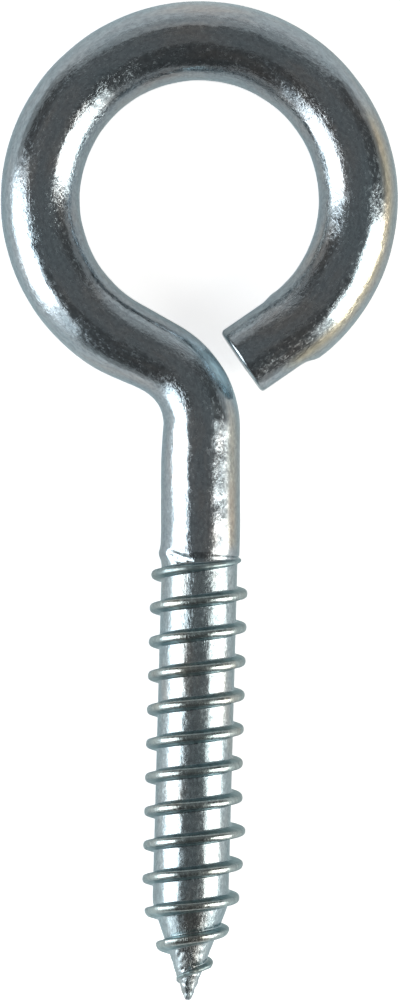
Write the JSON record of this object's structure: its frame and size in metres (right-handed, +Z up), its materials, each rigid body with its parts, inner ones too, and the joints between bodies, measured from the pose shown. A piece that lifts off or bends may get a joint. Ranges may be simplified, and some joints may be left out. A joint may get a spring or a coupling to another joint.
{
  "type": "screw eye",
  "caption": "Screw eye of zinc plated steel wire: a nearly closed round eye on a short plain shank with a right-hand lag thread and a gimlet point.",
  "frame": {"origin": "on the table, below the middle of the part's bounding box, with the part lying down as it rests", "axes": "+Y along the part from the thread's point towards the eye, +Z up off the table, +X across the eye, to the right when looking down on it with the eye at the far end"},
  "size_m": [0.0334, 0.084, 0.0086],
  "materials": {
    "plated_wire": "bright zinc plating, slightly blue, with fine forming marks"
  },
  "bodies": {
    "root": {"screw_eye": "plated_wire"}
  },
  "joints": []
}
